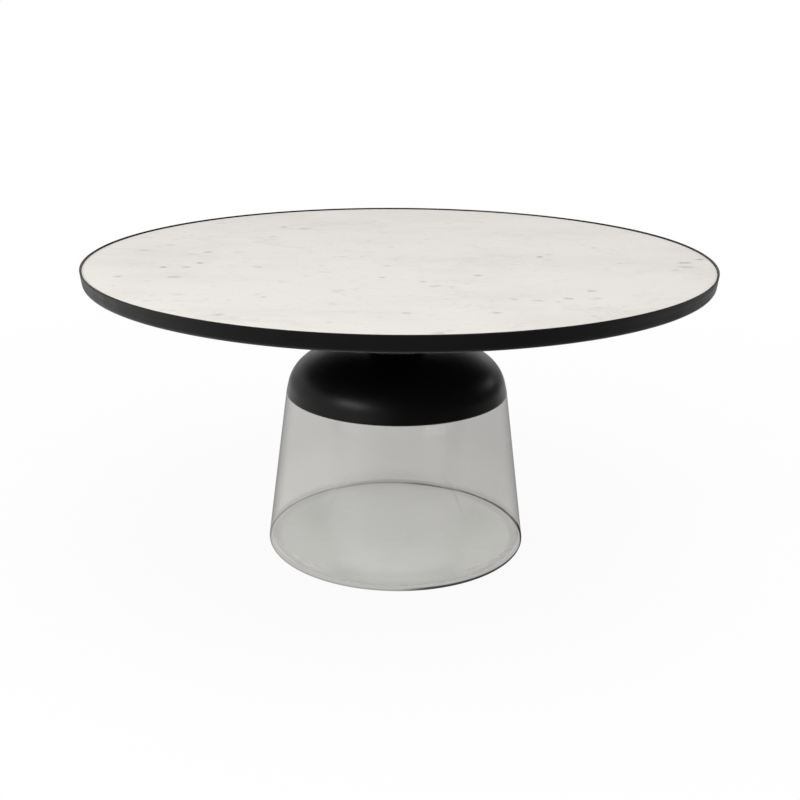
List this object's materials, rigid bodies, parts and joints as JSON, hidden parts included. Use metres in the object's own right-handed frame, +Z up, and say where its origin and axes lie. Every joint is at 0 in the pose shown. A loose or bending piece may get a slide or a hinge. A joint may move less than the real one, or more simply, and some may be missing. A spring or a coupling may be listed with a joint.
{
  "type": "round cocktail table",
  "caption": "Round cocktail table: a white stone top in a thin black band, carried by a black metal dome on a tapered smoked glass vessel.",
  "frame": {"origin": "on the floor, under the centre of the round top", "axes": "+Z up along the table's axis; X and Y lie along the four frame arms"},
  "size_m": [0.9142, 0.9142, 0.45],
  "materials": {
    "white_marble": "honed, sparse grey flecks",
    "black_powder_coat": "fine satin powder coat",
    "dome_lacquer": "satin black lacquer",
    "smoked_glass": "clear, lightly smoked",
    "black_zinc": "black zinc",
    "zinc_plate": "bright zinc",
    "clear_silicone": "translucent",
    "black_gasket": "matt"
  },
  "bodies": {
    "root": {"marble_top": "white_marble", "rim_band": "black_powder_coat", "ledge_ring": "black_powder_coat", "edge_bumpers": "clear_silicone", "arm_bumpers": "clear_silicone", "frame_arm_1": "black_powder_coat", "frame_arm_2": "black_powder_coat", "frame_arm_3": "black_powder_coat", "frame_arm_4": "black_powder_coat", "hub_plate": "black_powder_coat", "hub_nuts": "black_powder_coat", "flange_bolts": "black_zinc", "flange_washers": "black_zinc", "neck_flange": "black_powder_coat", "neck_tube": "black_powder_coat", "neck_plug": "zinc_plate", "crown_bolts": "zinc_plate", "crown_washers": "zinc_plate", "dome_shell": "dome_lacquer", "backing_plate": "zinc_plate", "seat_ring": "black_powder_coat", "mouth_gasket": "black_gasket", "edge_seal": "black_gasket", "glass_base": "smoked_glass"}
  },
  "joints": []
}
